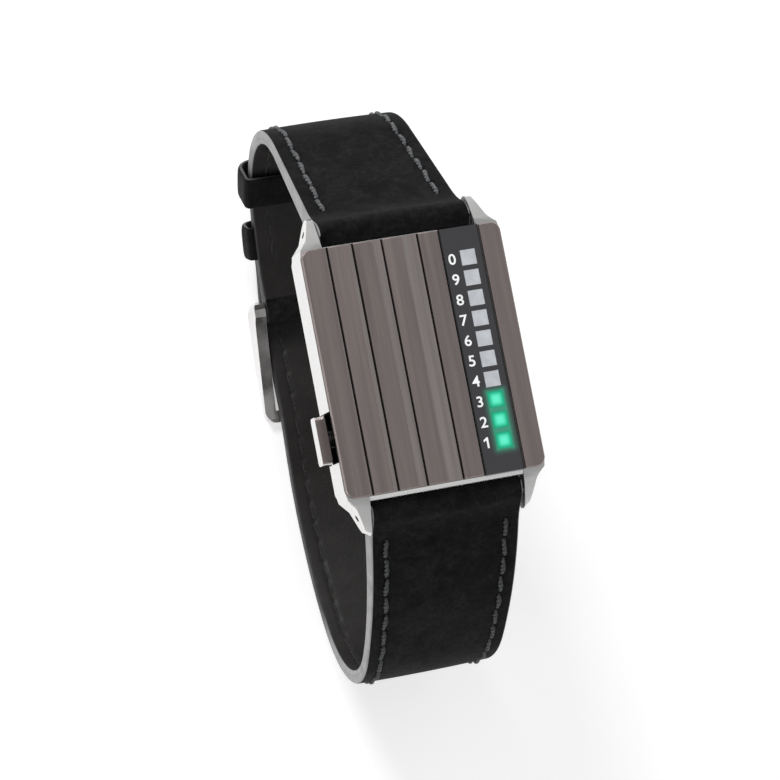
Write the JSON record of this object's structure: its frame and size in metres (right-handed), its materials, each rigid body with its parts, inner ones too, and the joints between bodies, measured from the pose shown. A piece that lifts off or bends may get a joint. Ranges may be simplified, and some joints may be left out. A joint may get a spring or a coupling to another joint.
{
  "type": "led watch",
  "caption": "Rectangular wristwatch that shows the time with a column of light windows, ribbed metal cover, side pusher and closed suede strap with a pin buckle.",
  "frame": {"origin": "centre of the outer face of the case back", "axes": "+X to 3 o'clock, +Y to 12 o'clock, +Z out of the face; the closed strap hangs below the case along -Z"},
  "size_m": [0.0298, 0.0819, 0.0536],
  "materials": {
    "polished_steel": "polished",
    "plated_steel": "grey-brown plating, brushed along the ribs",
    "pusher_steel": "satin",
    "back_steel": "satin",
    "bar_steel": "bright",
    "spring_steel": "drawn wire",
    "display_plastic": "satin",
    "unlit_lens": "frosted",
    "lit_lens": "frosted, glowing",
    "mask_plastic": "matt",
    "holder_plastic": "moulded",
    "board": "solder resist",
    "chip_white": "moulded",
    "chip_black": "moulded",
    "crystal_can": "bright",
    "capacitor": "fired ceramic",
    "plunger": "moulded",
    "cell_steel": "satin",
    "contact_brass": "plated",
    "seal_rubber": "soft",
    "suede": "black suede",
    "lining": "smooth dark lining",
    "keeper_leather": "black suede"
  },
  "bodies": {
    "watch": {"case_frame": "polished_steel", "ribbed_cover": "plated_steel", "side_cover": "plated_steel", "case_back": "back_steel", "back_screws": "back_steel", "pusher_tube": "back_steel", "upper_bar_tube": "bar_steel", "lower_bar_tube": "bar_steel", "buckle_bar_tube": "bar_steel", "pusher_spring": "spring_steel", "upper_bar_spring": "spring_steel", "lower_bar_spring": "spring_steel", "buckle_bar_spring": "spring_steel", "display_strip": "display_plastic", "unlit_lenses": "unlit_lens", "lit_lenses": "lit_lens", "light_mask": "mask_plastic", "module_holder": "holder_plastic", "circuit_board": "board", "led_chips": "chip_white", "driver_chip": "chip_black", "tactile_switch": "chip_black", "quartz_crystal": "crystal_can", "chip_capacitors": "capacitor", "battery_cell": "cell_steel", "battery_contact": "contact_brass", "back_gasket": "seal_rubber", "pusher_seal": "seal_rubber", "short_strap_leather": "suede", "long_strap_leather": "suede", "short_strap_lining": "lining", "long_strap_lining": "lining", "fixed_keeper": "keeper_leather"},
    "pusher": {"pusher_button": "pusher_steel", "switch_plunger": "plunger", "pusher_clip": "back_steel"},
    "buckle_frame": {"buckle_frame": "polished_steel"},
    "buckle_tang": {"buckle_tang": "polished_steel"},
    "free_keeper": {"free_keeper": "keeper_leather"},
    "upper_bar_left_tip": {"upper_bar_left_tip": "bar_steel"},
    "upper_bar_right_tip": {"upper_bar_right_tip": "bar_steel"},
    "lower_bar_left_tip": {"lower_bar_left_tip": "bar_steel"},
    "lower_bar_right_tip": {"lower_bar_right_tip": "bar_steel"},
    "buckle_bar_left_tip": {"buckle_bar_left_tip": "bar_steel"},
    "buckle_bar_right_tip": {"buckle_bar_right_tip": "bar_steel"}
  },
  "joints": [
    {"name": "pusher_press", "type": "slide", "parent": "watch", "child": "pusher", "axis": [1, 0, 0], "range_m": [0, 0.0007], "stiffness_N_per_m": 500, "springref_m": -0.001, "deforming": ["pusher_spring"]},
    {"name": "buckle_swing", "type": "hinge", "parent": "watch", "child": "buckle_frame", "pos_m": [0, 0.01541, -0.03949], "axis": [1, 0, 0], "range_deg": [0, 12]},
    {"name": "tang_swing", "type": "hinge", "parent": "buckle_frame", "child": "buckle_tang", "pos_m": [0, 0.01541, -0.03949], "axis": [1, 0, 0], "range_deg": [0, 20]},
    {"name": "free_keeper_slide", "type": "hinge", "parent": "watch", "child": "free_keeper", "pos_m": [0, 0.02396, -0.02149], "axis": [1, 0, 0], "range_deg": [-5, 40]},
    {"name": "upper_bar_left_press", "type": "slide", "parent": "watch", "child": "upper_bar_left_tip", "axis": [1, 0, 0], "range_m": [0, 0.00115], "stiffness_N_per_m": 200, "springref_m": -0.002, "deforming": ["upper_bar_spring"]},
    {"name": "upper_bar_right_press", "type": "slide", "parent": "watch", "child": "upper_bar_right_tip", "axis": [-1, 0, 0], "range_m": [0, 0.00115], "stiffness_N_per_m": 200, "springref_m": -0.002, "deforming": ["upper_bar_spring"]},
    {"name": "lower_bar_left_press", "type": "slide", "parent": "watch", "child": "lower_bar_left_tip", "axis": [1, 0, 0], "range_m": [0, 0.00115], "stiffness_N_per_m": 200, "springref_m": -0.002, "deforming": ["lower_bar_spring"]},
    {"name": "lower_bar_right_press", "type": "slide", "parent": "watch", "child": "lower_bar_right_tip", "axis": [-1, 0, 0], "range_m": [0, 0.00115], "stiffness_N_per_m": 200, "springref_m": -0.002, "deforming": ["lower_bar_spring"]},
    {"name": "buckle_bar_left_press", "type": "slide", "parent": "watch", "child": "buckle_bar_left_tip", "axis": [1, 0, 0], "range_m": [0, 0.00115], "stiffness_N_per_m": 200, "springref_m": -0.002, "deforming": ["buckle_bar_spring"]},
    {"name": "buckle_bar_right_press", "type": "slide", "parent": "watch", "child": "buckle_bar_right_tip", "axis": [-1, 0, 0], "range_m": [0, 0.00115], "stiffness_N_per_m": 200, "springref_m": -0.002, "deforming": ["buckle_bar_spring"]}
  ]
}
